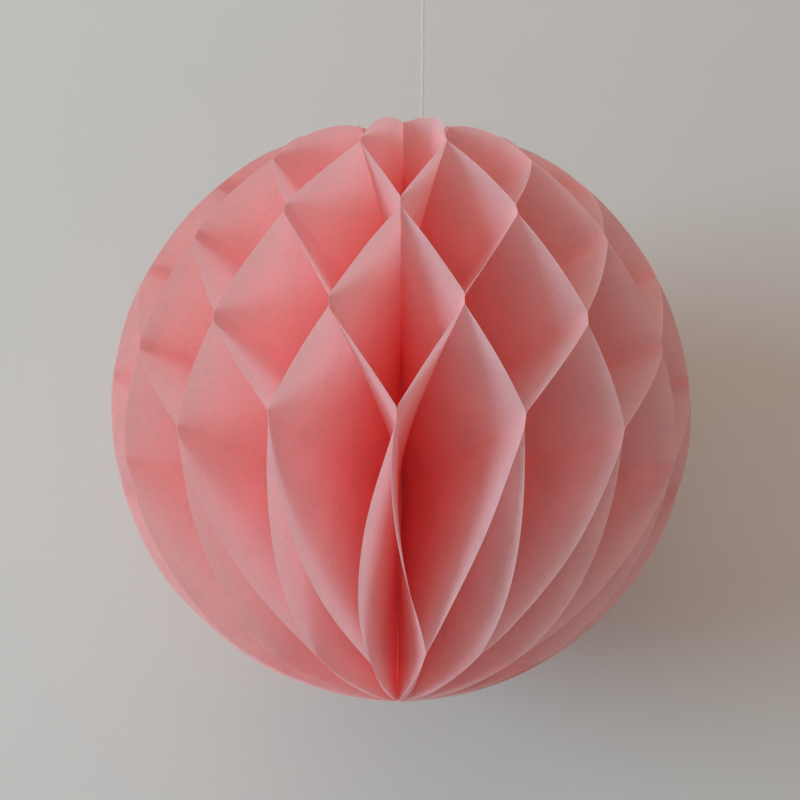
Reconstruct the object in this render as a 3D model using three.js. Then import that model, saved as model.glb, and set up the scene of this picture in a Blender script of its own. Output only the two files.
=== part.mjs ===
// Honeycomb paper ball: half-disc tissue sheets fanned round a spine and glued to their
// left and right neighbours by turns, hung on a thread. Millimetres, +Z up, centre at the origin.
import * as THREE from 'three';

// The ball. Its widest section lies a little below its middle, and its rim is nearly half an ellipse:
// a roundness of 2 is an ellipse, and less pulls the shoulders in.
const BALL_ACROSS = 200;
const BALL_TALL = 201.6;
const WIDEST_HEIGHT = -1.5;
const ROUNDNESS = 1.97;
const SHEET_PAIRS = 17;
const PAPER_THICKNESS = 0.2;
const GLUE_FILM = 0.1;

// Each glue line meets the rim at its rise above the widest section, in degrees. The crown line lies near
// the top pole and the last line near the bottom pole. Those between are evenly spread.
const CROWN_LINE_RISE = 66.5;
const EVEN_LINES = 4;
const TOP_LINE_RISE = 40.7;
const LOW_LINE_RISE = -17.5;
const LAST_LINE_RISE = -64.7;

// The lines fall from the rim to the spine by this much, and draw together there by this share
const SPINE_SAG = 9;
const SPINE_DRAW = 0.2;

// Height of the glued strips. The rim slants across those near the poles, so they are longer on it.
const STRIP_WIDTH = 3.6;

// How far the sheets still lean at the poles, as a share of their lean at a glue line
const TOP_POLE_LEAN = 0.8;
const BOTTOM_POLE_LEAN = 0.55;

// How a panel crosses from its upper joint to its lower one: its slopes at both ends, where 1 is straight.
// The crown panels, below the crown line, open at once and stand proud of the rim's curve.
const STRAIGHT_RUN = [1, 1];
const CROWN_RUN = [2.2, 0.45];
const FRONT_CROWN_RUN = [4, 0];
const CROWN_SWELL = 0.6;

// The petals, above the last line, are the longest panels. Those at the front hang each in its own way,
// and the list starts at the second petal to the left of the front one.
const PETAL_RUN = [0.75, 1.25];
const PETAL_RUN_SPREAD = 0.3;
const PETAL_RUN_TURN = 2.4;
const FIRST_FRONT_PETAL = -2;
const FRONT_PETAL_RUNS = [[-0.3, 3], [1.6, -0.3], [-1, 2.4], [0.8, 1.15], [0.75, 1.2]];

// Widest step between two rulings of a sheet, in degrees
const RULING_STEP = 8;

// The spine that binds the sheets' straight edges
const CORE_SLACK = 0.1;
const SPINE_CLEARANCE = 0.3;
const SPINE_SIDES = 16;

// The hanging thread, which is glued into a gap between two pairs of sheets beside the top pole
const THREAD_DIAMETER = 1.6;
const THREAD_SIDE_GAP = 0.15;
const THREAD_COLUMN = 9;
const THREAD_TAIL = 11.5;
const THREAD_ABOVE_BALL = 80;
const THREAD_SIDES = 8;
const THREAD_STEP = 2.3;

// The knot and the loop at the thread's upper end
const KNOT_DIAMETER = 3.2;
const LOOP_WIDTH = 8;
const LOOP_HEIGHT = 17;
const LOOP_SEGMENTS = 28;
const KNOT_GAP = 0.3;

const TISSUE = { color: 0xe3a3a3, roughness: 0.9, metalness: 0 };
const BINDING = { color: 0xd98f90, roughness: 0.9, metalness: 0 };
const COTTON = { color: 0xe6e0d4, roughness: 0.8, metalness: 0 };

// Worked out from the driving dimensions
const { degToRad, radToDeg, lerp } = THREE.MathUtils;
const SHEETS = 2 * Math.round(SHEET_PAIRS);
const COLUMN_ANGLE = (2 * Math.PI) / SHEETS;
const FRONT_AZIMUTH = -Math.PI / 2;
const HALF_ACROSS = BALL_ACROSS / 2;
const HALF_TALL = BALL_TALL / 2;
const SHEET_PITCH = PAPER_THICKNESS + GLUE_FILM;
const CORE_RADIUS = SHEET_PITCH / COLUMN_ANGLE + CORE_SLACK;
const TOP_CORNER = cornerHeight(1);
const BOTTOM_CORNER = cornerHeight(-1);
const GLUE_LINES = glueLines();

const ball = new THREE.Group();

function addPiece(name, geometry, finish) {
  const mesh = new THREE.Mesh(geometry, new THREE.MeshStandardMaterial(finish));
  mesh.name = name;
  ball.add(mesh);
  return mesh;
}

// Height from the widest section to the top pole, for 1, or to the bottom pole, for -1
function halfHeight(end) {
  return HALF_TALL - end * WIDEST_HEIGHT;
}

// Height of the sheets' corners above the widest section, at the top pole or the bottom one
function cornerHeight(end) {
  const slim = (CORE_RADIUS / HALF_ACROSS) ** ROUNDNESS;
  return end * halfHeight(end) * (1 - slim) ** (1 / ROUNDNESS);
}

// Every glue line from the crown line down, with half its strip's length on the rim as an angle
function glueLines() {
  const evenRise = (_, i) => lerp(TOP_LINE_RISE, LOW_LINE_RISE, i / (EVEN_LINES - 1));
  const even = Array.from({ length: EVEN_LINES }, evenRise);
  const halfStrip = radToDeg(STRIP_WIDTH / BALL_ACROSS);
  return [CROWN_LINE_RISE, ...even, LAST_LINE_RISE].map((rise) => {
    return { rise, half: halfStrip / Math.cos(degToRad(rise)) };
  });
}

// A sheet lies between two columns. The glue lines join sheets at even and odd columns by turns,
// so a sheet leans left (-1) at one line and right (+1) at the next.
function side(sheet, line) {
  return sheet % 2 === line % 2 ? -1 : 1;
}

// How a sheet's panel above a glue line crosses over
function panelRun(sheet, line) {
  if (line === 1) return sheet === 0 ? FRONT_CROWN_RUN : CROWN_RUN;
  if (line < GLUE_LINES.length - 1) return STRAIGHT_RUN;
  const fromFirst = (sheet - FIRST_FRONT_PETAL) % SHEETS;
  const spread = PETAL_RUN_SPREAD * Math.sin(PETAL_RUN_TURN * sheet);
  return FRONT_PETAL_RUNS[fromFirst] ?? [PETAL_RUN[0] - spread, PETAL_RUN[1] + spread];
}

// How far a panel has crossed over, from 0 at its upper joint to 1 at its lower one
function crossed(share, [start, end]) {
  const rest = 1 - share;
  return share ** 2 * (1 + 2 * rest) + start * share * rest ** 2 - end * share ** 2 * rest;
}

// The lean of a sheet at its poles and at both edges of each glued strip, from the top down.
// The run belongs to the panel that ends there.
function leanStops(sheet) {
  const last = GLUE_LINES.length - 1;
  const pole = (corner, lean) => {
    return { rise: radToDeg(Math.atan2(corner, CORE_RADIUS)), lean, run: STRAIGHT_RUN };
  };
  const stops = [pole(TOP_CORNER, TOP_POLE_LEAN * side(sheet, 0))];
  GLUE_LINES.forEach(({ rise, half }, line) => {
    const lean = side(sheet, line);
    stops.push({ rise: rise + half, lean, run: panelRun(sheet, line) });
    stops.push({ rise: rise - half, lean, run: STRAIGHT_RUN });
  });
  stops.push(pole(BOTTOM_CORNER, BOTTOM_POLE_LEAN * side(sheet, last)));
  return stops;
}

// The rulings of a sheet, which are the straight lines from its core edge to its rim, from the top down
function rulings(sheet) {
  const stops = leanStops(sheet);
  const lines = [stops[0]];
  for (let i = 1; i < stops.length; i++) {
    const [from, to] = [stops[i - 1], stops[i]];
    const count = Math.ceil((from.rise - to.rise) / RULING_STEP);
    for (let n = 1; n <= count; n++) {
      const share = n / count;
      const lean = lerp(from.lean, to.lean, crossed(share, to.run));
      lines.push({ rise: lerp(from.rise, to.rise, share), lean });
    }
  }
  return lines;
}

// How far the rim stands proud of its curve, which it does between the crown line and the next
function swell(rise) {
  const [crown, next] = GLUE_LINES;
  const [high, low] = [crown.rise - crown.half, next.rise + next.half];
  return rise > low && rise < high ? CROWN_SWELL * Math.sin((Math.PI * (rise - low)) / (high - low)) : 0;
}

// Distance from the middle of the widest section to the rim
function rimDistance(rise) {
  const angle = degToRad(rise);
  const out = Math.cos(angle) / HALF_ACROSS;
  const up = Math.abs(Math.sin(angle)) / halfHeight(Math.sign(rise));
  return (out ** ROUNDNESS + up ** ROUNDNESS) ** (-1 / ROUNDNESS) + swell(rise);
}

// Height at the core edge of a ruling that ends at this height on the rim. The corners stay in place.
function coreHeight(height) {
  const corner = height > 0 ? TOP_CORNER : BOTTOM_CORNER;
  return height - (SPINE_SAG + SPINE_DRAW * height) * (1 - (height / corner) ** 2);
}

// A point on one face of a sheet: face is -1 on its left and +1 on its right
function facePoint(sheet, lean, face, radius, height) {
  const room = COLUMN_ANGLE / 2 - SHEET_PITCH / 2 / radius;
  const turn = lean * room + (face * PAPER_THICKNESS) / 2 / radius;
  const azimuth = FRONT_AZIMUTH + (sheet + 1 / 2) * COLUMN_ANGLE + turn;
  return [radius * Math.cos(azimuth), radius * Math.sin(azimuth), height];
}

// A closed sheet: two faces, the curved rim and the straight core edge, which meet at the poles
function sheetGeometry(sheet) {
  const points = [];
  const addPair = (lean, radius, height) => {
    const place = [radius, WIDEST_HEIGHT + height];
    points.push(facePoint(sheet, lean, -1, ...place), facePoint(sheet, lean, 1, ...place));
    return { left: points.length - 2, right: points.length - 1 };
  };
  const lines = rulings(sheet);
  const edges = lines.map(({ rise, lean }, i) => {
    const angle = degToRad(rise);
    const reach = rimDistance(rise);
    const height = reach * Math.sin(angle);
    const core = addPair(lean, CORE_RADIUS, coreHeight(height));
    const isPole = i === 0 || i === lines.length - 1;
    return { core, rim: isPole ? core : addPair(lean, reach * Math.cos(angle), height) };
  });

  const triangles = [];
  const addTriangle = (...corners) => {
    if (new Set(corners).size === corners.length) triangles.push(...corners);
  };
  const addQuad = (a, b, c, d) => {
    addTriangle(a, b, d);
    addTriangle(b, c, d);
  };
  for (let i = 1; i < edges.length; i++) {
    const [up, down] = [edges[i - 1], edges[i]];
    addQuad(up.core.right, up.rim.right, down.rim.right, down.core.right);
    addQuad(up.core.left, down.core.left, down.rim.left, up.rim.left);
    addQuad(up.rim.left, down.rim.left, down.rim.right, up.rim.right);
    addQuad(up.core.left, up.core.right, down.core.right, down.core.left);
  }

  const geometry = new THREE.BufferGeometry();
  geometry.setAttribute('position', new THREE.Float32BufferAttribute(points.flat(), 3));
  geometry.setIndex(triangles);
  geometry.computeVertexNormals();
  return geometry;
}

for (let sheet = 0; sheet < SHEETS; sheet++) {
  addPiece(`sheet_${String(sheet + 1).padStart(2, '0')}`, sheetGeometry(sheet), TISSUE);
}

// The spine on the axis, between the sheets' straight edges
const spineRadius = CORE_RADIUS - SPINE_CLEARANCE;
const spineLength = TOP_CORNER - BOTTOM_CORNER;
const spineGeometry = new THREE.CylinderGeometry(spineRadius, spineRadius, spineLength, SPINE_SIDES);
const spine = addPiece('spine', spineGeometry, BINDING);
spine.position.z = WIDEST_HEIGHT + (TOP_CORNER + BOTTOM_CORNER) / 2;
spine.rotation.x = Math.PI / 2;

// The thread rises in the middle of its gap, as far from the axis as clears the sheets on both sides.
const threadRadius = THREAD_DIAMETER / 2;
const threadRoom = threadRadius + THREAD_SIDE_GAP + PAPER_THICKNESS / 2 + (TOP_POLE_LEAN * SHEET_PITCH) / 2;
const threadFromAxis = threadRoom / ((1 + TOP_POLE_LEAN) * (COLUMN_ANGLE / 2));
const threadAzimuth = FRONT_AZIMUTH + THREAD_COLUMN * COLUMN_ANGLE;
const threadBottom = HALF_TALL - THREAD_TAIL;
const threadTop = HALF_TALL + THREAD_ABOVE_BALL;

function threadPoint(height) {
  const [x, y] = [Math.cos(threadAzimuth), Math.sin(threadAzimuth)];
  return new THREE.Vector3(threadFromAxis * x, threadFromAxis * y, height);
}

function threadSection() {
  const corners = Array.from({ length: THREAD_SIDES }, (_, i) => {
    const angle = (2 * Math.PI * i) / THREAD_SIDES;
    return new THREE.Vector2(threadRadius * Math.cos(angle), threadRadius * Math.sin(angle));
  });
  return new THREE.Shape(corners);
}

const threadGeometry = new THREE.ExtrudeGeometry(threadSection(), {
  extrudePath: new THREE.LineCurve3(threadPoint(threadBottom), threadPoint(threadTop)),
  steps: Math.ceil((threadTop - threadBottom) / (THREAD_STEP * THREAD_DIAMETER)),
});
addPiece('hang_thread', threadGeometry, COTTON);

const knotRadius = KNOT_DIAMETER / 2;
const knotGeometry = new THREE.SphereGeometry(knotRadius, 2 * THREAD_SIDES, THREAD_SIDES);
addPiece('loop_knot', knotGeometry, COTTON).position.copy(threadPoint(threadTop + KNOT_GAP + knotRadius));

// A ring of thread, drawn out to the loop's height
function loopGeometry() {
  const ringRadius = LOOP_WIDTH / 2 - threadRadius;
  const geometry = new THREE.TorusGeometry(ringRadius, threadRadius, THREAD_SIDES, LOOP_SEGMENTS);
  const { position } = geometry.attributes;
  const stretch = (LOOP_HEIGHT - LOOP_WIDTH) / 2;
  for (let i = 0; i < position.count; i++) {
    const angle = Math.atan2(position.getY(i), position.getX(i));
    position.setY(i, position.getY(i) + stretch * Math.sin(angle));
  }
  return geometry;
}

const loop = addPiece('hang_loop', loopGeometry(), COTTON);
loop.position.copy(threadPoint(threadTop + KNOT_GAP + KNOT_DIAMETER + KNOT_GAP + LOOP_HEIGHT / 2));
loop.rotation.x = Math.PI / 2;

export default ball;
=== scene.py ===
"""Honeycomb paper ball on its hanging thread, in metres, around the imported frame.

Thirty-four half-discs of tissue stand round a spine. Nearly level glue lines join each sheet to its
left and right neighbours by turns, so that the sheets open into a honeycomb of cells.
"""

import logging
import math
from dataclasses import dataclass, field
from enum import Enum
from typing import Any

import bpy
import numpy as np
from mathutils import Matrix, Vector

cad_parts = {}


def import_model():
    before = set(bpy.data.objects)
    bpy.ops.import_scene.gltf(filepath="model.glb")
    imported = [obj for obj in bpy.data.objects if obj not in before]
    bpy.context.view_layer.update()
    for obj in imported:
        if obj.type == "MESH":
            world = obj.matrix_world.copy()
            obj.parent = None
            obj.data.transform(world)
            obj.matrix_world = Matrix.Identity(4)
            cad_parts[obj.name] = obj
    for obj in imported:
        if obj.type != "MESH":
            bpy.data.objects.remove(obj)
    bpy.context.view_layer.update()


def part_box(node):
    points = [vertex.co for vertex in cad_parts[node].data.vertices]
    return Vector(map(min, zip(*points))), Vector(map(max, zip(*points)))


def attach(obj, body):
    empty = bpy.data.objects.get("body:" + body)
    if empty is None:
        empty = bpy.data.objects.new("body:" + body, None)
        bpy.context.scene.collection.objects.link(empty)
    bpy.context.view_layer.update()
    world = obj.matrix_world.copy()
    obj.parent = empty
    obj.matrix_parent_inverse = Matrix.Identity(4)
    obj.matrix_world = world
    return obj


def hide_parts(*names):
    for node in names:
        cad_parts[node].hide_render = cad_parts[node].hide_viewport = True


LOG = logging.getLogger("honeycomb_ball")
BODY = "root"
MM = 0.001
FROM_RIM = "from_rim"
SHARP_ANGLE = math.radians(40)
FRONT_AZIMUTH = -math.pi / 2

Colour = tuple[float, float, float]
Direction = tuple[float, float, float]
Run = tuple[float, float]
Span = tuple[float, float]


class Side(Enum):
    """The two ways that a sheet can face or lean, seen from outside the ball."""

    LEFT = -1
    RIGHT = 1


class Value:
    """A number that varies over a surface: the output of a shader node."""

    def __init__(self, graph: "ShaderGraph", socket: bpy.types.NodeSocket) -> None:
        """Keeps the graph and the socket."""
        self.graph = graph
        self.socket = socket

    def __add__(self, other: "Value | float") -> "Value":
        """Adds."""
        return self.graph.math("ADD", self, other)

    def __sub__(self, other: "Value | float") -> "Value":
        """Subtracts."""
        return self.graph.math("SUBTRACT", self, other)

    def __mul__(self, other: "Value | float") -> "Value":
        """Multiplies."""
        return self.graph.math("MULTIPLY", self, other)

    def __radd__(self, other: float) -> "Value":
        """Adds to a plain number."""
        return self.graph.math("ADD", other, self)

    def __rsub__(self, other: float) -> "Value":
        """Subtracts from a plain number."""
        return self.graph.math("SUBTRACT", other, self)

    def __rmul__(self, other: float) -> "Value":
        """Multiplies a plain number."""
        return self.graph.math("MULTIPLY", other, self)

    def step(self, low: float, high: float) -> "Value":
        """A soft step from 0 at low to 1 at high.

        Args:
            low: Where the step is 0.
            high: Where the step is 1. It may lie below low.

        Returns:
            The step, between 0 and 1.
        """
        sockets = {"Value": self, "From Min": low, "From Max": high}
        node = self.graph.add("MapRange", {"interpolation_type": "SMOOTHSTEP"}, sockets)
        return Value(self.graph, node.outputs["Result"])


class ShaderGraph:
    """The node tree of one material, grown from Python expressions."""

    def __init__(self, owner: bpy.types.Material | bpy.types.World) -> None:
        """Empties the owner's node tree.

        Args:
            owner: The material or world whose nodes are to be made.
        """
        owner.use_nodes = True
        self.tree = owner.node_tree
        self.tree.nodes.clear()

    def add(
        self,
        kind: str,
        settings: dict[str, Any] | None = None,
        sockets: dict[str | int, Any] | None = None,
    ) -> bpy.types.Node:
        """Adds a node.

        Args:
            kind: The node's type, without its ShaderNode prefix.
            settings: The node's own properties, which are set first.
            sockets: A number, colour, socket or Value for each input by name or place.

        Returns:
            The new node.
        """
        node = self.tree.nodes.new(f"ShaderNode{kind}")
        for name, setting in (settings or {}).items():
            setattr(node, name, setting)
        for name, given in (sockets or {}).items():
            source = given.socket if isinstance(given, Value) else given
            if isinstance(source, bpy.types.NodeSocket):
                self.tree.links.new(source, node.inputs[name])
            else:
                node.inputs[name].default_value = source
        return node

    def math(self, operation: str, first: "Value | float", second: "Value | float") -> Value:
        """Adds a Math node for an operation on two numbers."""
        node = self.add("Math", {"operation": operation}, {0: first, 1: second})
        return Value(self, node.outputs["Value"])

    def place(self) -> bpy.types.NodeSocket:
        """The place on the object, in metres from its origin."""
        return self.add("TexCoord").outputs["Object"]

    def held(self, name: str) -> Value:
        """A number that the mesh holds at each of its points."""
        return Value(self, self.add("Attribute", {"attribute_name": name}).outputs["Fac"])

    def noise(self, place: bpy.types.NodeSocket, grain: float, detail: float) -> Value:
        """Cloudy noise around a half.

        Args:
            place: The coordinates to read it at.
            grain: The size of its largest clouds, in metres.
            detail: How many finer layers it holds.

        Returns:
            The noise, mostly between 0.25 and 0.75.
        """
        sockets = {"Vector": place, "Scale": 1 / grain, "Detail": detail}
        return Value(self, self.add("TexNoise", None, sockets).outputs["Fac"])

    def blend(self, share: Value, first: Any, second: Any) -> bpy.types.NodeSocket:
        """A colour between two colours."""
        return self.add("Mix", {"data_type": "RGBA"}, {0: share, 6: first, 7: second}).outputs[2]

    def shade(self, colour: bpy.types.NodeSocket | Colour, factor: Value) -> bpy.types.NodeSocket:
        """A colour made lighter or darker by a factor."""
        sockets = {0: colour, "Scale": factor}
        return self.add("VectorMath", {"operation": "SCALE"}, sockets).outputs["Vector"]

    def bump(self, height: Value, depth: float, strength: float) -> bpy.types.NodeSocket:
        """A normal that follows a height.

        Args:
            height: The height, between 0 and 1.
            depth: What a height of 1 measures, in metres.
            strength: How much of it shows.

        Returns:
            The normal's socket.
        """
        sockets = {"Height": height, "Distance": depth, "Strength": strength}
        return self.add("Bump", None, sockets).outputs["Normal"]

    def mix(self, share: Any, first: bpy.types.Node, second: bpy.types.Node) -> bpy.types.Node:
        """A shader between two shaders."""
        return self.add("MixShader", None, {0: share, 1: first.outputs[0], 2: second.outputs[0]})

    def finish(self, shader: bpy.types.Node, kind: str = "OutputMaterial") -> None:
        """Joins a shader to the tree's output."""
        self.add(kind, None, {"Surface": shader.outputs[0]})


def opaque(colour: Colour) -> tuple[float, float, float, float]:
    """A colour with full alpha, as colour sockets take it."""
    return (*colour, 1.0)


@dataclass(frozen=True)
class TissueFinish:
    """Dyed tissue paper: matt, cloudy, and thin enough to glow where light comes through. A paler band along
    the cut rim is painted highlight.
    """

    face: Colour = (0.998, 0.67, 0.665)
    # painted highlight: the paler colour of a narrow band along the rim, and its width, standing in for the
    # cut edge catching light
    rim_highlight_paint: Colour = (1.0, 0.86, 0.77)
    glow: Colour = (1.0, 0.67, 0.655)
    glow_share: float = 0.47
    rim_highlight_width: float = 0.38 * MM
    cloud_grain: float = 11 * MM
    cloud_detail: float = 0.0
    cloud_shade: float = 0.2
    mottle_grain: float = 2.2 * MM
    mottle_detail: float = 1.0
    mottle_shade: float = 0.3
    fleck_span: Span = (0.16, 0.24)
    fleck_shade: float = 0.14
    roughness: float = 0.95

    def material(self) -> bpy.types.Material:
        """Makes the material.

        Returns:
            The material for every sheet.
        """
        material = bpy.data.materials.new("dyed_tissue")
        graph = ShaderGraph(material)
        place = graph.place()
        cloud = graph.noise(place, self.cloud_grain, self.cloud_detail) - 0.5
        mottle = graph.noise(place, self.mottle_grain, self.mottle_detail) - 0.5
        fleck = mottle.step(*self.fleck_span)
        shade = 1 + cloud * self.cloud_shade + mottle * self.mottle_shade - fleck * self.fleck_shade
        # painted highlight: the paler colour is blended in within a set width of the rim, where the paper's
        # cut edge would catch light
        rim_highlight_share = graph.held(FROM_RIM).step(self.rim_highlight_width, 0)
        colour = graph.shade(graph.blend(rim_highlight_share, opaque(self.face), opaque(self.rim_highlight_paint)), shade)
        sockets = {"Base Color": colour, "Roughness": self.roughness, "Specular IOR Level": 0.0}
        paper = graph.add("BsdfPrincipled", None, sockets)
        glow = graph.add("BsdfTranslucent", None, {"Color": opaque(self.glow)})
        graph.finish(graph.mix(self.glow_share, paper, glow))
        return material


@dataclass(frozen=True)
class BindingFinish:
    """Glued paper edges: the dye looks darker where glue has soaked in."""

    dry: Colour = (1.0, 0.60, 0.58)
    soaked: Colour = (0.98, 0.50, 0.48)
    soak_grain: float = 3 * MM
    soak_detail: float = 3.0
    soak_span: Span = (0.35, 0.65)
    crust_grain: float = 0.375 * MM
    crust_detail: float = 2.0
    crust_depth: float = 0.1 * MM
    crust_strength: float = 0.5
    roughness: float = 0.75

    def material(self) -> bpy.types.Material:
        """Makes the material.

        Returns:
            The material for the spine.
        """
        material = bpy.data.materials.new("glued_binding")
        graph = ShaderGraph(material)
        place = graph.place()
        soak = graph.noise(place, self.soak_grain, self.soak_detail).step(*self.soak_span)
        crust = graph.noise(place, self.crust_grain, self.crust_detail)
        normal = graph.bump(crust, self.crust_depth, self.crust_strength)
        colour = graph.blend(soak, opaque(self.dry), opaque(self.soaked))
        sockets = {"Base Color": colour, "Roughness": self.roughness, "Normal": normal}
        graph.finish(graph.add("BsdfPrincipled", None, sockets))
        return material


@dataclass(frozen=True)
class CottonFinish:
    """Cream cotton thread: matt, soft and a little uneven along its length."""

    pale: Colour = (0.82, 0.81, 0.785)
    shaded: Colour = (0.78, 0.77, 0.745)
    through: Colour = (0.97, 0.96, 0.94)
    through_share: float = 0.9
    fibre_grain: float = 0.25 * MM
    fibre_detail: float = 3.0
    fibre_share: float = 0.6
    fibre_depth: float = 0.05 * MM
    fibre_strength: float = 0.4
    patch_grain: float = 4 * MM
    patch_detail: float = 2.0
    uneven_span: Span = (0.35, 0.68)
    roughness: float = 0.85

    def material(self) -> bpy.types.Material:
        """Makes the material.

        Returns:
            The material for the thread, its knot and its loop.
        """
        material = bpy.data.materials.new("cotton_thread")
        graph = ShaderGraph(material)
        place = graph.place()
        fibre = graph.noise(place, self.fibre_grain, self.fibre_detail)
        patch = graph.noise(place, self.patch_grain, self.patch_detail)
        uneven = (fibre * self.fibre_share + patch * (1 - self.fibre_share)).step(*self.uneven_span)
        colour = graph.blend(uneven, opaque(self.pale), opaque(self.shaded))
        sockets = {
            "Base Color": colour,
            "Roughness": self.roughness,
            "Specular IOR Level": 0.0,
            "Normal": graph.bump(fibre, self.fibre_depth, self.fibre_strength),
        }
        cotton = graph.add("BsdfPrincipled", None, sockets)
        through = graph.add("BsdfTranslucent", None, {"Color": opaque(self.through)})
        graph.finish(graph.mix(self.through_share, cotton, through))
        return material


@dataclass(frozen=True)
class PlasterFinish:
    """Plain pale plaster, which shows from its front alone."""

    name: str
    colour: Colour
    patch_grain: float = 0.25
    patch_detail: float = 3.0
    patch_shade: float = 0.05
    roughness: float = 0.9

    def material(self) -> bpy.types.Material:
        """Makes the material.

        Returns:
            The material for the floor or the wall.
        """
        material = bpy.data.materials.new(self.name)
        graph = ShaderGraph(material)
        patch = graph.noise(graph.place(), self.patch_grain, self.patch_detail) - 0.5
        colour = graph.shade(self.colour, 1 + patch * self.patch_shade)
        plaster = graph.add("BsdfPrincipled", None, {"Base Color": colour, "Roughness": self.roughness})
        behind = graph.add("NewGeometry").outputs["Backfacing"]
        graph.finish(graph.mix(behind, plaster, graph.add("BsdfTransparent")))
        return material


def make_piece(
    name: str,
    points: np.ndarray,
    faces: list[np.ndarray],
    finish: bpy.types.Material,
) -> bpy.types.Object:
    """Makes a mesh object, smooth apart from its sharp edges.

    Args:
        name: The piece's name.
        points: Its points, in metres.
        faces: Groups of faces, as the places of their corners in points.
        finish: Its material.

    Returns:
        The new object, linked to the scene.
    """
    mesh = bpy.data.meshes.new(name)
    corners = [face for group in faces for face in group.tolist()]
    mesh.from_pydata(points.reshape(-1, 3).tolist(), [], corners)
    mesh.shade_smooth()
    mesh.set_sharp_from_angle(angle=SHARP_ANGLE)
    mesh.materials.append(finish)
    mesh.update()
    piece = bpy.data.objects.new(name, mesh)
    bpy.context.scene.collection.objects.link(piece)
    return piece


def quads(a: np.ndarray, b: np.ndarray, c: np.ndarray, d: np.ndarray) -> np.ndarray:
    """Faces with the corners a, b, c and d, which are arrays of one shape."""
    return np.stack([a, b, c, d], axis=-1).reshape(-1, 4)


def tube_faces(rings: int, around: int, first: int = 0) -> list[np.ndarray]:
    """The faces of a closed tube.

    Args:
        rings: How many rings of points it has.
        around: How many points each ring has, counter-clockwise about the way forward.
        first: The place of its first point.

    Returns:
        Its wall and its two ends.
    """
    places = first + np.arange(rings * around).reshape(rings, around)
    after = np.roll(places, -1, axis=1)
    wall = quads(places[:-1], after[:-1], after[1:], places[1:])
    return [wall, places[:1, ::-1], places[-1:]]


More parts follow.
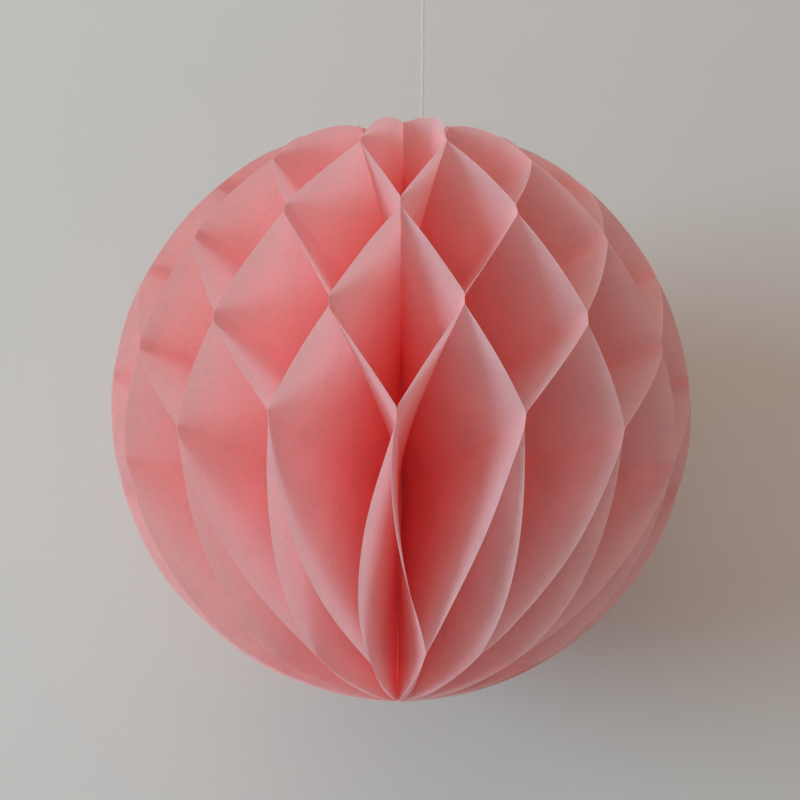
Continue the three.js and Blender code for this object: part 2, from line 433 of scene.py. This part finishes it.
@dataclass
class HoneycombBall:
    """The tissue sheets round the spine, in metres and degrees.

    The joints stray a little from their even spacing. Both sheets of a joint share its stray. Each of the
    front joints states its glue line from the top, its column from the front, its turn and its slip.
    """

    finish: bpy.types.Material
    across: float = 0.200
    tall: float = 0.2016
    widest_height: float = -1.5 * MM
    roundness: float = 1.97
    sheet_pairs: int = 17
    paper: float = 0.2 * MM
    glue_film: float = 0.1 * MM
    core_slack: float = 0.1 * MM
    corner_width: float = 1.0 * MM
    joint_gap: float = 0.04 * MM

    crown_line_rise: float = 66.5
    even_lines: int = 4
    top_line_rise: float = 40.7
    low_line_rise: float = -17.5
    last_line_rise: float = -64.7
    strip_width: float = 3.6 * MM
    spine_draw: float = 0.2
    spine_sag: float = 9 * MM
    top_pole_lean: float = 0.8
    bottom_pole_lean: float = 0.55

    crown_swell: float = 0.6 * MM
    front_swells: tuple[float, ...] = (-0.9 * MM, 1.2 * MM, 1.7 * MM, -0.9 * MM)
    first_front_swell: int = -2
    crown_dip: float = 0.7 * MM
    crown_dip_starts: Span = (6.0, 1.5)
    crown_dip_ends: Span = (78.0, 89.0)
    straight_run: Run = (1.0, 1.0)
    crown_run: Run = (2.2, 0.45)
    front_crown_run: Run = (4.0, 0.0)
    petal_run: Run = (0.75, 1.25)
    petal_run_spread: float = 0.3
    petal_run_turn: float = 2.4
    front_petal_runs: tuple[Run, ...] = ((-0.3, 3.0), (1.6, -0.3), (-1.0, 2.4), (0.8, 1.15), (0.75, 1.2))
    first_front_petal: int = -2

    seed: int = 7
    joint_turn: float = 0.12
    joint_slip: float = 0.2
    most_stray: float = 2.0
    front_joints: tuple[tuple[int, int, float, float], ...] = (
        (1, -1, 0.9, 0.65),
        (1, 1, 0.0, 1.4),
        (2, 0, 0.0, -0.8),
        (3, -1, -0.5, -0.55),
        (3, 1, -0.35, 0.0),
        (3, 3, 0.6, 0.0),
        (4, -4, 1.0, 1.6),
        (4, -2, -0.5, 1.35),
        (4, 0, -0.2, 0.7),
        (4, 2, 0.0, 1.1),
        (4, 4, 0.0, 1.6),
        (5, -1, 0.0, -3.0),
    )
    fold_reach: float = 0.35
    deep_ease: float = 0.35
    flutter: float = 0.15 * MM
    flutter_turns: tuple[float, ...] = (23.0, 37.0, 61.0)
    flutter_sizes: Span = (0.4, 1.0)
    flutter_free: float = 7.0
    cut_stray: float = 0.12 * MM

    grid_step: float = 0.05
    row_step: float = 1.6
    strip_row_step: float = 0.45
    strip_row_reach: float = 2.2
    steps_out: int = 16
    rim_crowding: float = 1.25

    turns: np.ndarray = field(init=False, repr=False)
    slips: np.ndarray = field(init=False, repr=False)

    def __post_init__(self) -> None:
        """Draws the stray of every joint."""
        draw = np.random.default_rng(self.seed)
        shape = (len(self.glue_lines()), self.sheets)
        most = self.most_stray
        self.turns = self.joint_turn * draw.standard_normal(shape).clip(-most, most)
        self.slips = self.joint_slip * draw.standard_normal(shape).clip(-most, most)
        for line, column, turn, slip in self.front_joints:
            self.turns[line, column], self.slips[line, column] = turn, slip

    @property
    def sheets(self) -> int:
        """How many sheets there are."""
        return 2 * self.sheet_pairs

    @property
    def column_angle(self) -> float:
        """The angle from one column of joints to the next, in radians."""
        return 2 * math.pi / self.sheets

    @property
    def core_radius(self) -> float:
        """The distance from the axis to the sheets' straight edges."""
        return (self.paper + self.glue_film) / self.column_angle + self.core_slack

    def half_height(self, side: int) -> float:
        """The height from the widest section to the top pole, for 1, or the bottom pole, for -1."""
        return self.tall / 2 - side * self.widest_height

    def corner_rise(self, side: int) -> float:
        """The rise of a sheet's corner at the top pole, for 1, or the bottom pole, for -1."""
        radius = self.core_radius + self.corner_width
        slim = (2 * radius / self.across) ** self.roundness
        height = side * self.half_height(side) * (1 - slim) ** (1 / self.roundness)
        return math.degrees(math.atan2(height, radius))

    def glue_lines(self) -> list[tuple[float, float]]:
        """The rise of each glue line from the top down, with half its level strip's width as an angle."""
        even = np.linspace(self.top_line_rise, self.low_line_rise, self.even_lines).tolist()
        rises = [self.crown_line_rise, *even, self.last_line_rise]
        half = math.degrees(self.strip_width / self.across)
        return [(rise, half / math.cos(math.radians(rise))) for rise in rises]

    @staticmethod
    def side(sheet: int, line: int) -> Side:
        """The side that a sheet leans to at a glue line."""
        return Side.LEFT if sheet % 2 == line % 2 else Side.RIGHT

    def run(self, sheet: int, line: int) -> Run:
        """How a sheet's panel above a glue line leaves its upper joint and comes to its lower one.

        Args:
            sheet: The sheet's number, from 0.
            line: The glue line's number, from the top.

        Returns:
            The slopes at both ends, where 1 is a straight panel's.
        """
        if line == 1:
            return self.front_crown_run if sheet == 0 else self.crown_run
        if line <= self.even_lines:
            return self.straight_run
        place = (sheet - self.first_front_petal) % self.sheets
        if place < len(self.front_petal_runs):
            return self.front_petal_runs[place]
        spread = self.petal_run_spread * math.sin(self.petal_run_turn * sheet)
        return self.petal_run[0] - spread, self.petal_run[1] + spread

    def stops(self, sheet: int) -> list[tuple[float, float, float, Run]]:
        """Where the lean of a sheet is fixed, from the top down.

        Args:
            sheet: The sheet's number, from 0.

        Returns:
            The rise, the lean, the joint's turn and the run of the panel that ends there.
        """
        lines = self.glue_lines()
        top, bottom = self.side(sheet, 0).value, self.side(sheet, len(lines) - 1).value
        straight = self.straight_run
        stops = [(self.corner_rise(1), self.top_pole_lean * top, 0.0, straight)]
        for line, (rise, half) in enumerate(lines):
            side = self.side(sheet, line)
            column = (sheet + (side is Side.RIGHT)) % self.sheets
            turn, middle = self.turns[line, column], rise + self.slips[line, column]
            stops.append((middle + half, side.value, turn, self.run(sheet, line)))
            stops.append((middle - half, side.value, turn, straight))
        return [*stops, (self.corner_rise(-1), self.bottom_pole_lean * bottom, 0.0, straight)]

    @staticmethod
    def course(share: np.ndarray, run: Run) -> np.ndarray:
        """How far a panel has crossed over from its upper joint to its lower one.

        Args:
            share: The share of its height, from the top.
            run: The slopes at both ends.

        Returns:
            0 at its upper joint and 1 at its lower one.
        """
        rest = 1 - share
        return share**2 * (1 + 2 * rest) + run[0] * share * rest**2 - run[1] * share**2 * rest

    def bend(self, sheet: int, rises: np.ndarray, ease: float) -> tuple[np.ndarray, np.ndarray]:
        """The lean and the turn of a sheet at some rises, with its folds softened.

        Args:
            sheet: The sheet's number, from 0.
            rises: The rises to find them at.
            ease: What the slopes at a panel's ends are times, so that less makes softer folds.

        Returns:
            The lean, from -1 at the left joint to 1 at the right one, and the turn in degrees.
        """
        stops = self.stops(sheet)
        grid = np.arange(-90, 90 + self.grid_step, self.grid_step)
        lean, turn = np.full_like(grid, stops[0][1]), np.zeros_like(grid)
        for (high, lean_high, turn_high, _), (low, lean_low, turn_low, run) in zip(stops, stops[1:]):
            share = np.clip((high - grid) / (high - low), 0, 1)
            below = grid <= high
            crossed = self.course(share, (ease * run[0], ease * run[1]))
            lean = np.where(below, lean_high + (lean_low - lean_high) * crossed, lean)
            turn = np.where(below, turn_high + (turn_low - turn_high) * share, turn)
        reach = round(self.fold_reach / self.grid_step)
        kernel = np.full(2 * reach + 1, 1 / (2 * reach + 1))
        soft = [np.convolve(np.pad(bent, reach, "edge"), kernel, "valid") for bent in (lean, turn)]
        return np.interp(rises, grid, soft[0]), np.interp(rises, grid, soft[1])

    def rows(self, sheet: int) -> np.ndarray:
        """The rises of a sheet's rows of points, closer together at its folds, from the top down."""
        top, bottom = self.corner_rise(1), self.corner_rise(-1)
        marks = [top, bottom]
        spans = [(high, low) for (high, *_), (low, *_) in zip(self.stops(sheet), self.stops(sheet)[1:])]
        for high, low in spans:
            marks.extend(np.linspace(high, low, max(2, math.ceil((high - low) / self.row_step))))
        for rise, half in self.glue_lines():
            reach = half + self.strip_row_reach
            marks.extend(np.arange(rise - reach, rise + reach, self.strip_row_step))
        marks = np.unique(np.round(np.clip(marks, bottom, top), 3))
        kept = [marks[0]]
        for mark in marks[1:-1]:
            if mark - kept[-1] > self.strip_row_step / 2:
                kept.append(mark)
        return np.array([*kept, marks[-1]])[::-1]

    def stray(self, sheet: int, rises: np.ndarray) -> tuple[np.ndarray, np.ndarray]:
        """How the rim of a sheet strays: sideways between its joints, and outwards along its cut.

        Args:
            sheet: The sheet's number, from 0.
            rises: The rises to find it at.

        Returns:
            The sideways stray as an angle, and the outward stray in metres, at each rise.
        """
        draw = np.random.default_rng((self.seed, sheet))
        phases = draw.uniform(0, 2 * math.pi, (2, len(self.flutter_turns)))
        sizes = draw.uniform(*self.flutter_sizes, (2, len(self.flutter_turns)))
        waves = [
            sum(
                size * np.sin(2 * math.pi * rises / turn + phase)
                for size, turn, phase in zip(sizes[i], self.flutter_turns, phases[i])
            )
            for i in range(2)
        ]
        nearest = np.min([np.abs(rises - rise) - half for rise, half in self.glue_lines()], axis=0)
        free = np.clip((nearest - self.fold_reach) / self.flutter_free, 0, 1)
        return self.flutter / (self.across / 2) * free * waves[0], self.cut_stray * waves[1]

    def surface(self, sheet: int, rises: np.ndarray) -> tuple[np.ndarray, np.ndarray, np.ndarray]:
        """The middle of a sheet's paper, in rows at some rises and in steps from the core out.

        Args:
            sheet: The sheet's number, from 0.
            rises: The rises of the rows.

        Returns:
            The distance from the axis, the height and the azimuth of each point.
        """
        lean, turn = self.bend(sheet, rises, 1.0)
        deep_lean, _ = self.bend(sheet, rises, self.deep_ease)
        sideways, outwards = self.stray(sheet, rises)
        angle = np.radians(rises)
        half_height = np.where(angle > 0, self.half_height(1), self.half_height(-1))
        out, up = np.cos(angle) / (self.across / 2), np.abs(np.sin(angle)) / half_height
        rim = (out**self.roundness + up**self.roundness) ** (-1 / self.roundness) + outwards
        (crown, crown_half), (next_line, next_half) = self.glue_lines()[:2]
        panel = (rises - next_line - next_half) / (crown - crown_half - next_line - next_half)
        from_first = (sheet - self.first_front_swell) % self.sheets
        swells = self.front_swells
        swell = swells[from_first] if from_first < len(swells) else self.crown_swell
        rim = rim + swell * np.sin(math.pi * np.clip(panel, 0, 1))
        dip_rises = (*(crown - start for start in self.crown_dip_starts), *self.crown_dip_ends)
        rim = rim - self.crown_dip * np.interp(rises, dip_rises, (0, 1, 1, 0))
        share = (1 - (1 - np.linspace(0, 1, self.steps_out + 1)) ** self.rim_crowding)[None, :]
        core = self.core_radius
        radius = core + share * (np.maximum(rim * np.cos(angle), core)[:, None] - core)
        rise_out = rim * np.sin(angle)
        corner = np.where(angle > 0, rise_out.max(), rise_out.min())
        fall = (self.spine_sag + self.spine_draw * rise_out) * (1 - (rise_out / corner) ** 2)
        height = self.widest_height + rise_out[:, None] - fall[:, None] * (1 - share)
        middle = FRONT_AZIMUTH + (sheet + 0.5) * self.column_angle + np.radians(turn)[:, None]
        lean = deep_lean[:, None] + (lean - deep_lean)[:, None] * share**2
        middle = middle + lean * (self.column_angle / 2 - self.joint_gap / 2 / radius)
        return radius, height, middle + sideways[:, None] * share**2

    def build_sheet(self, sheet: int) -> bpy.types.Object:
        """Builds one sheet, which is a single surface, and puts it in the place of its solid.

        Args:
            sheet: The sheet's number, from 0.

        Returns:
            The sheet's object.
        """
        radius, height, azimuth = self.surface(sheet, self.rows(sheet))
        points = np.stack([radius * np.cos(azimuth), radius * np.sin(azimuth), height], axis=-1)
        places = np.arange(radius.size).reshape(radius.shape)
        faces = quads(places[1:, :-1], places[:-1, :-1], places[:-1, 1:], places[1:, 1:])
        node = f"sheet_{sheet + 1:02d}"
        piece = make_piece(f"tissue_{node}", points, [faces], self.finish)
        held = piece.data.attributes.new(FROM_RIM, "FLOAT", "POINT")
        held.data.foreach_set("value", np.hypot(radius[:, -1:] - radius, height[:, -1:] - height).ravel())
        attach(piece, BODY)
        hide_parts(node)
        return piece

    def build(self) -> list[bpy.types.Object]:
        """Builds every sheet."""
        return [self.build_sheet(sheet) for sheet in range(self.sheets)]


@dataclass
class Spine:
    """The glued straight edges of the sheets, drawn together into a fluted rod."""

    finish: bpy.types.Material
    flutes: int = 34
    flute_depth: float = 0.09 * MM
    points_a_flute: int = 4
    rings: int = 61
    end_round: float = 0.5 * MM
    end_slim: float = 0.02

    def build(self) -> bpy.types.Object:
        """Builds the rod in the place of its solid.

        Returns:
            The spine's object.
        """
        low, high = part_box("spine")
        around = self.flutes * self.points_a_flute
        turn = np.linspace(0, 2 * math.pi, around, endpoint=False)[None, :]
        share = np.cos(np.linspace(math.pi, 0, self.rings))[:, None]
        height = (low.z + high.z) / 2 + (high.z - low.z) / 2 * share
        from_end = np.minimum(height - low.z, high.z - height)
        slim = np.sqrt(np.clip(from_end / self.end_round, self.end_slim, 1))
        wide = slim * ((high.x - low.x) / 2 - self.flute_depth * np.cos(self.flutes * turn / 2) ** 2)
        height = np.broadcast_to(height, wide.shape)
        points = np.stack([wide * np.cos(turn), wide * np.sin(turn), height], axis=-1)
        piece = make_piece("spine_binding", points, tube_faces(self.rings, around), self.finish)
        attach(piece, BODY)
        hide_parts("spine")
        return piece


def carried_frames(path: np.ndarray) -> tuple[np.ndarray, np.ndarray]:
    """Two directions across a path, carried along it without twisting.

    Args:
        path: The path's points.

    Returns:
        The two directions at each point. The second is the way forward crossed with the first.
    """
    forward = np.gradient(path, axis=0)
    forward /= np.linalg.norm(forward, axis=1, keepdims=True)
    across = np.cross(forward[0], np.eye(3)[np.argmin(np.abs(forward[0]))])
    first = []
    for way in forward:
        across = across - way * (across @ way)
        across = across / np.linalg.norm(across)
        first.append(across)
    first = np.array(first)
    return first, np.cross(forward, first)


def ring_about(path: np.ndarray, turns: np.ndarray, radius: float) -> np.ndarray:
    """Points at a distance from a path, at some turns about it."""
    first, second = carried_frames(path)
    across = np.cos(turns)[..., None] * first[:, None] + np.sin(turns)[..., None] * second[:, None]
    return path[:, None] + radius * across


@dataclass
class HangingThread:
    """The twisted cotton thread that the ball hangs on, with the knot and the loop at its upper end."""

    finish: bpy.types.Material
    ball_top: float
    diameter: float = 1.6 * MM
    plies: int = 3
    lay_length: float = 2.8 * MM
    ply_sides: int = 8
    points_a_lay: int = 14
    route_points: int = 30
    knot_turns: float = 2.0
    knot_points: int = 60
    loop_points: int = 80
    loop_start: float = 0.33
    loop_lift: float = 1.3

    def strand(self, name: str, route: np.ndarray, node: str) -> bpy.types.Object:
        """Builds a twisted strand in the place of a solid.

        Args:
            name: The piece's name.
            route: The points that it follows.
            node: The solid that it stands for.

        Returns:
            The strand's object.
        """
        steps = np.linalg.norm(np.diff(route, axis=0), axis=1)
        along = np.concatenate([[0], np.cumsum(steps)])
        fine = np.linspace(0, along[-1], math.ceil(along[-1] / self.lay_length * self.points_a_lay))
        path = np.stack([np.interp(fine, along, route[:, axis]) for axis in range(3)], axis=1)
        ply_radius = self.diameter / 2 / (1 + 1 / math.sin(math.pi / self.plies))
        ply_turns = np.arange(self.plies) * 2 * math.pi / self.plies
        turns = 2 * math.pi * fine[:, None] / self.lay_length + ply_turns[None, :]
        centres = ring_about(path, turns, self.diameter / 2 - ply_radius)
        sides = np.linspace(0, 2 * math.pi, self.ply_sides, endpoint=False)
        sides = np.broadcast_to(sides, (len(path), self.ply_sides))
        tubes = [ring_about(centres[:, ply], sides, ply_radius) for ply in range(self.plies)]
        faces = [
            group
            for ply in range(self.plies)
            for group in tube_faces(len(path), self.ply_sides, ply * len(path) * self.ply_sides)
        ]
        piece = make_piece(name, np.stack(tubes), faces, self.finish)
        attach(piece, BODY)
        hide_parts(node)
        return piece

    def knot_route(self, low: Vector, high: Vector) -> np.ndarray:
        """The wraps of the knot, between the corners of its solid."""
        share = np.linspace(0, 1, self.knot_points)
        turn = 2 * math.pi * self.knot_turns * share
        radius = (high.x - low.x) / 2 - self.diameter / 2
        height = low.z + self.diameter / 2 + (high.z - low.z - self.diameter) * share
        middle = (low + high) / 2
        return np.stack([middle.x + radius * np.cos(turn), middle.y + radius * np.sin(turn), height], axis=1)

    def loop_route(self, low: Vector, high: Vector, start: float) -> np.ndarray:
        """A drop that starts and ends in the knot.

        Args:
            low: The lowest corner of the loop's solid.
            high: The highest corner of the loop's solid.
            start: The height in the knot at which it starts.

        Returns:
            The points of the loop.
        """
        turn = np.linspace(self.loop_start, 2 * math.pi - self.loop_start, self.loop_points)
        middle = (low + high) / 2
        half_wide = (high.x - low.x - self.diameter) / 2
        wide = self.loop_lift * half_wide * np.sin(turn) * np.sin(turn / 2)
        rise = (math.cos(self.loop_start) - np.cos(turn)) / (math.cos(self.loop_start) + 1)
        height = start + (high.z - self.diameter / 2 - start) * rise
        return np.stack([middle.x + wide, np.full_like(turn, middle.y), height], axis=1)

    def build(self) -> list[bpy.types.Object]:
        """Returns:
            The three pieces.
        """
        low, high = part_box("hang_thread")
        middle = (low + high) / 2
        route = np.linspace((middle.x, middle.y, low.z), (middle.x, middle.y, high.z), self.route_points)
        thread = self.strand("cotton_thread", route, "hang_thread")
        knot_low, knot_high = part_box("loop_knot")
        knot = self.strand("thread_knot", self.knot_route(knot_low, knot_high), "loop_knot")
        start = (knot_low.z + knot_high.z) / 2
        loop = self.strand("thread_loop", self.loop_route(*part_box("hang_loop"), start), "hang_loop")
        return [thread, knot, loop]


@dataclass(frozen=True)
class SoftLamp:
    """A square lamp that faces the ball. Its turn is to the right of the front, and its rise above level."""

    name: str
    turn: float
    rise: float
    distance: float
    width: float
    power: float
    colour: Colour

    def build(self) -> None:
        """Adds the lamp to the scene."""
        lamp = bpy.data.lights.new(self.name, "AREA")
        lamp.size = self.width
        lamp.energy = self.power
        lamp.color = self.colour
        piece = bpy.data.objects.new(self.name, lamp)
        turn, rise = math.radians(self.turn), math.radians(self.rise)
        away = Vector((math.sin(turn) * math.cos(rise), -math.cos(turn) * math.cos(rise), math.sin(rise)))
        piece.location = self.distance * away
        piece.rotation_euler = away.to_track_quat("Z", "Y").to_euler()
        bpy.context.scene.collection.objects.link(piece)


@dataclass
class Studio:
    """A pale wall close behind the ball, a floor below it, and soft light from the left."""

    wall: PlasterFinish = PlasterFinish("pale_wall", (0.73, 0.70, 0.64))
    floor: PlasterFinish = PlasterFinish("pale_floor", (0.62, 0.61, 0.59))
    wall_behind: float = 0.12
    wall_half_width: float = 2.5
    wall_top: float = 2.0
    floor_below: float = 1.2
    floor_half_width: float = 4.0

    key: SoftLamp = SoftLamp("key", -58.0, -1.0, 2.6, 1.3, 40.5, (0.485, 0.795, 1.0))
    wash: SoftLamp = SoftLamp("wash", -38.0, 59.0, 1.1, 0.6, 1.2, (0.95, 0.72, 0.58))
    room_side: Direction = (-0.68, -0.68, 0.27)
    room_light: Colour = (0.78, 0.665, 0.615)
    room_span: Span = (-0.2, 1.0)
    seen_room: Colour = (0.72, 0.71, 0.69)
    light_bounces: int = 40

    def build(self) -> None:
        """Builds the stage and the lights."""
        wide, top, below = self.wall_half_width, self.wall_top, -self.floor_below
        behind, far = self.wall_behind, self.floor_half_width
        wall = [(-wide, behind, below), (wide, behind, below), (wide, behind, top), (-wide, behind, top)]
        floor = [(-far, -far, below), (far, -far, below), (far, far, below), (-far, far, below)]
        for name, corners, finish in (("wall", wall, self.wall), ("floor", floor, self.floor)):
            face = [np.arange(4)[None, :]]
            make_piece(f"stage_{name}", np.array(corners), face, finish.material())
        self.key.build()
        self.wash.build()
        self.room()
        cycles = bpy.context.scene.cycles
        cycles.max_bounces = self.light_bounces
        cycles.diffuse_bounces = self.light_bounces
        cycles.transmission_bounces = self.light_bounces

    def room(self) -> None:
        """Fills the world with light from one side, which looks evenly pale where the camera sees it."""
        world = bpy.data.worlds.new("room")
        bpy.context.scene.world = world
        graph = ShaderGraph(world)
        towards = graph.add("TexCoord").outputs["Generated"]
        sockets = {0: towards, 1: self.room_side}
        near = graph.add("VectorMath", {"operation": "DOT_PRODUCT"}, sockets).outputs["Value"]
        colour = graph.shade(self.room_light, Value(graph, near).step(*self.room_span))
        light = graph.add("Background", None, {"Color": colour})
        seen = graph.add("Background", None, {"Color": opaque(self.seen_room)})
        camera = graph.add("LightPath").outputs["Is Camera Ray"]
        graph.finish(graph.mix(camera, light, seen), "OutputWorld")


@dataclass
class PhotoCamera:
    """The camera at the photograph's place. Pixels are those of its square frame."""

    distance: float = 0.39043
    turn: float = 0.45
    rise: float = -16.755
    roll: float = 0.6635
    frame: float = 800.0
    focal: float = 1092.9
    ball_at: tuple[float, float] = (400.77, 408.43)
    sensor: float = 36.0
    nearest: float = 0.01

    def build(self) -> bpy.types.Object:
        """Makes the camera and hands it to the scene.

        Returns:
            The camera.
        """
        turn, rise, roll = (math.radians(angle) for angle in (self.turn, self.rise, self.roll))
        place = self.distance * Vector(
            (math.sin(turn) * math.cos(rise), -math.cos(turn) * math.cos(rise), math.sin(rise))
        )
        to_ball = -place.normalized()
        level = to_ball.cross(Vector((0, 0, 1))).normalized()
        upright = level.cross(to_ball)
        right = math.cos(roll) * level + math.sin(roll) * upright
        up = right.cross(to_ball)
        off_right = self.ball_at[0] - self.frame / 2
        off_up = self.frame / 2 - self.ball_at[1]
        aim = (self.focal * to_ball - off_right * right - off_up * up).normalized()
        right = aim.cross(up).normalized()
        axes = Matrix((right, right.cross(aim), -aim)).transposed()
        lens = bpy.data.cameras.new("photo_camera")
        lens.sensor_width = self.sensor
        lens.lens = self.focal / self.frame * self.sensor
        lens.clip_start = self.nearest
        camera = bpy.data.objects.new("photo_camera", lens)
        camera.matrix_world = Matrix.Translation(place) @ axes.to_4x4()
        bpy.context.scene.collection.objects.link(camera)
        bpy.context.scene.camera = camera
        return camera


def main() -> None:
    """Builds the object, its stage and its camera."""
    logging.basicConfig(level=logging.INFO, format="%(message)s")
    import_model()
    bpy.context.scene.view_settings.view_transform = "Standard"

    PhotoCamera().build()
    cotton = CottonFinish().material()
    binding = BindingFinish().material()
    tissue = TissueFinish().material()
    ball = HoneycombBall(tissue)
    thread = HangingThread(cotton, ball.tall / 2)
    spine = Spine(binding)
    for piece in [*thread.build(), spine.build(), *ball.build()]:
        LOG.info("%s: %d faces", piece.name, len(piece.data.polygons))
    Studio().build()


if __name__ == "__main__":
    main()
